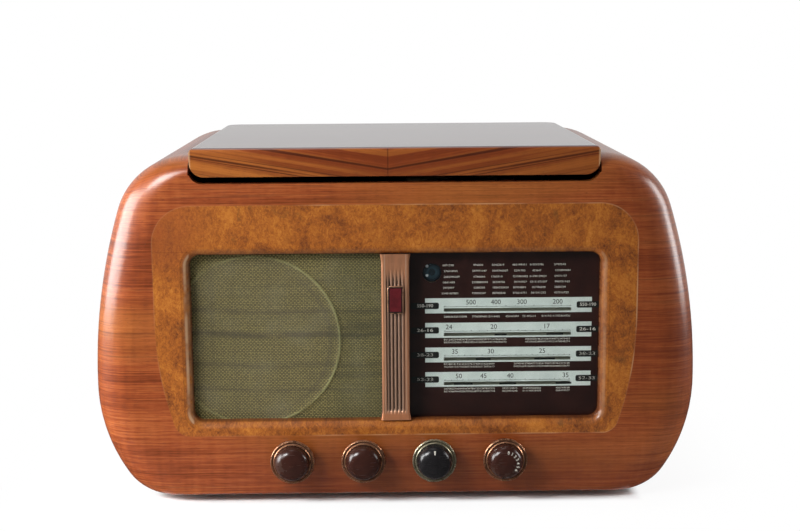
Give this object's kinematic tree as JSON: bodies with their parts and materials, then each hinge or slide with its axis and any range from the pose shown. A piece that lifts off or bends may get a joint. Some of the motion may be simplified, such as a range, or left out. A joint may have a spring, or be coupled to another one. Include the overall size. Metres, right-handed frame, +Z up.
{
  "type": "radio",
  "caption": "Rounded wooden table radio with a lit dial, a speaker cloth, round knobs and a record deck under its lid.",
  "frame": {"origin": "on the floor, under the middle of the whole object with its knobs", "axes": "+X to the viewer's right, +Y to the back, +Z up; the dial faces -Y"},
  "size_m": [0.56, 0.37, 0.331],
  "materials": {
    "walnut": "polished",
    "front_veneer": "polished",
    "lid_veneer": "polished",
    "plywood": "raw",
    "hardboard": "raw",
    "deck_board": "satin",
    "foot_pad": "matt",
    "plated_steel": "plated",
    "grille_cloth": "woven",
    "painted_steel": "satin",
    "cone_paper": "matt",
    "magnet_steel": "plated",
    "copper_plate": "polished",
    "brass_plate": "polished",
    "badge_enamel": "gloss",
    "dial_glass": "polished",
    "dial_scale": "gloss",
    "lamp_glass": "polished",
    "eye_glass": "polished",
    "chassis_steel": "plated",
    "transformer_steel": "satin",
    "valve_glass": "polished",
    "can_aluminium": "satin",
    "control_steel": "plated",
    "brown_board": "satin",
    "black_plastic": "gloss",
    "brown_plastic": "gloss",
    "ivory_plastic": "gloss",
    "cord": "braided",
    "pointer_paint": "satin",
    "shaft_steel": "bright",
    "motor_paint": "satin",
    "bright_chrome": "polished",
    "platter_paint": "hammered",
    "rubber": "matt"
  },
  "bodies": {
    "cabinet": {"cabinet_wrap": "walnut", "front_panel": "front_veneer", "bottom_board": "plywood", "back_cover": "hardboard", "cover_screws": "plated_steel", "feet": "foot_pad", "motor_board": "deck_board", "baffle_board": "plywood", "grille_cloth": "grille_cloth", "speaker_frame": "painted_steel", "speaker_cone": "cone_paper", "speaker_magnet": "magnet_steel", "center_pillar": "copper_plate", "pillar_badge": "badge_enamel", "dial_glass": "dial_glass", "dial_plate": "dial_scale", "dial_lamps": "lamp_glass", "tuning_eye": "eye_glass", "chassis": "chassis_steel", "transformers": "transformer_steel", "valves": "valve_glass", "chassis_cans": "can_aluminium", "tuning_capacitor": "can_aluminium", "control_bodies": "control_steel", "lead_sockets": "brown_board", "mains_inlet": "black_plastic", "dial_cord": "cord", "motor": "motor_paint", "turntable_spindle": "bright_chrome", "arm_pedestal": "bright_chrome", "arm_rest": "bright_chrome", "hinge_leaves_lower": "brass_plate", "stay_pin": "brass_plate"},
    "lid": {"lid": "lid_veneer", "hinge_leaves_upper": "brass_plate", "lid_stay": "brass_plate"},
    "volume_control": {"volume_knob": "brown_plastic", "volume_ring": "copper_plate", "volume_shaft": "shaft_steel"},
    "tuning_control": {"tuning_knob": "brown_plastic", "tuning_ring": "copper_plate", "tuning_shaft": "shaft_steel"},
    "tone_control": {"tone_knob": "black_plastic", "tone_ring": "brass_plate", "tone_shaft": "shaft_steel"},
    "band_control": {"band_knob": "brown_plastic", "band_ring": "copper_plate", "band_shaft": "shaft_steel"},
    "capacitor": {"tuning_rotor": "can_aluminium", "drive_drum": "can_aluminium"},
    "pointer": {"pointer": "pointer_paint"},
    "left_pulley": {"left_pulley": "brass_plate"},
    "right_pulley": {"right_pulley": "brass_plate"},
    "platter": {"platter": "platter_paint", "platter_mat": "rubber"},
    "roller": {"drive_roller": "rubber"},
    "arm_yoke": {"arm_yoke": "bright_chrome"},
    "arm": {"pickup_arm": "ivory_plastic", "pickup_head": "ivory_plastic"},
    "stop_lever": {"stop_lever": "bright_chrome"}
  },
  "joints": [
    {"name": "lid_hinge", "type": "hinge", "parent": "cabinet", "child": "lid", "pos_m": [0, 0.1595, 0.3262], "axis": [-1, 0, 0], "range_deg": [0, 75]},
    {"name": "volume_turn", "type": "hinge", "parent": "cabinet", "child": "volume_control", "pos_m": [-0.09665, -0.16, 0.0423], "axis": [0, 1, 0], "range_deg": [0, 280]},
    {"name": "tone_turn", "type": "hinge", "parent": "cabinet", "child": "tone_control", "pos_m": [0.03435, -0.16, 0.0423], "axis": [0, 1, 0], "range_deg": [-140, 140]},
    {"name": "band_turn", "type": "hinge", "parent": "cabinet", "child": "band_control", "pos_m": [0.09985, -0.16, 0.0423], "axis": [0, 1, 0], "range_deg": [0, 90]},
    {"name": "capacitor_turn", "type": "hinge", "parent": "cabinet", "child": "capacitor", "pos_m": [0.105, -0.1295, 0.126], "axis": [0, 1, 0], "range_deg": [0, 180]},
    {"name": "tuning_turn", "type": "hinge", "parent": "cabinet", "child": "tuning_control", "pos_m": [-0.03115, -0.16, 0.0423], "axis": [0, 1, 0], "range_deg": [0, 1075]},
    {"name": "left_pulley_turn", "type": "hinge", "parent": "cabinet", "child": "left_pulley", "pos_m": [0.01, -0.1295, 0.06], "axis": [0, 1, 0], "range_deg": [-1075, 0]},
    {"name": "right_pulley_turn", "type": "hinge", "parent": "cabinet", "child": "right_pulley", "pos_m": [0.198, -0.1295, 0.076], "axis": [0, 1, 0], "range_deg": [0, 1075]},
    {"name": "pointer_slide", "type": "slide", "parent": "cabinet", "child": "pointer", "axis": [1, 0, 0], "range_m": [-0.1501, 0]},
    {"name": "platter_turn", "type": "hinge", "parent": "cabinet", "child": "platter", "pos_m": [-0.025, 0.008, 0.275], "axis": [0, 0, 1], "continuous": true},
    {"name": "roller_turn", "type": "hinge", "parent": "cabinet", "child": "roller", "pos_m": [0.09091, -0.01244, 0.263], "axis": [0, 0, 1], "continuous": true},
    {"name": "arm_swing", "type": "hinge", "parent": "cabinet", "child": "arm_yoke", "pos_m": [0.102, 0.095, 0.281], "axis": [0, 0, 1], "range_deg": [-12, 33]},
    {"name": "arm_lift", "type": "hinge", "parent": "arm_yoke", "child": "arm", "pos_m": [0.102, 0.095, 0.291], "axis": [-0.8886, 0.4586, 0], "range_deg": [0, 8]},
    {"name": "stop_lever_turn", "type": "hinge", "parent": "cabinet", "child": "stop_lever", "pos_m": [0.135, -0.098, 0.259], "axis": [0, 0, 1], "range_deg": [0, 30]}
  ],
  "couplings": [
    {"joint": "tuning_turn", "follows": "capacitor_turn", "ratio": 5.9688},
    {"joint": "left_pulley_turn", "follows": "capacitor_turn", "ratio": -5.9688},
    {"joint": "right_pulley_turn", "follows": "capacitor_turn", "ratio": 5.9688},
    {"joint": "pointer_slide", "follows": "capacitor_turn", "m_per_rad": -0.04775},
    {"joint": "roller_turn", "follows": "platter_turn", "ratio": 20.667}
  ]
}
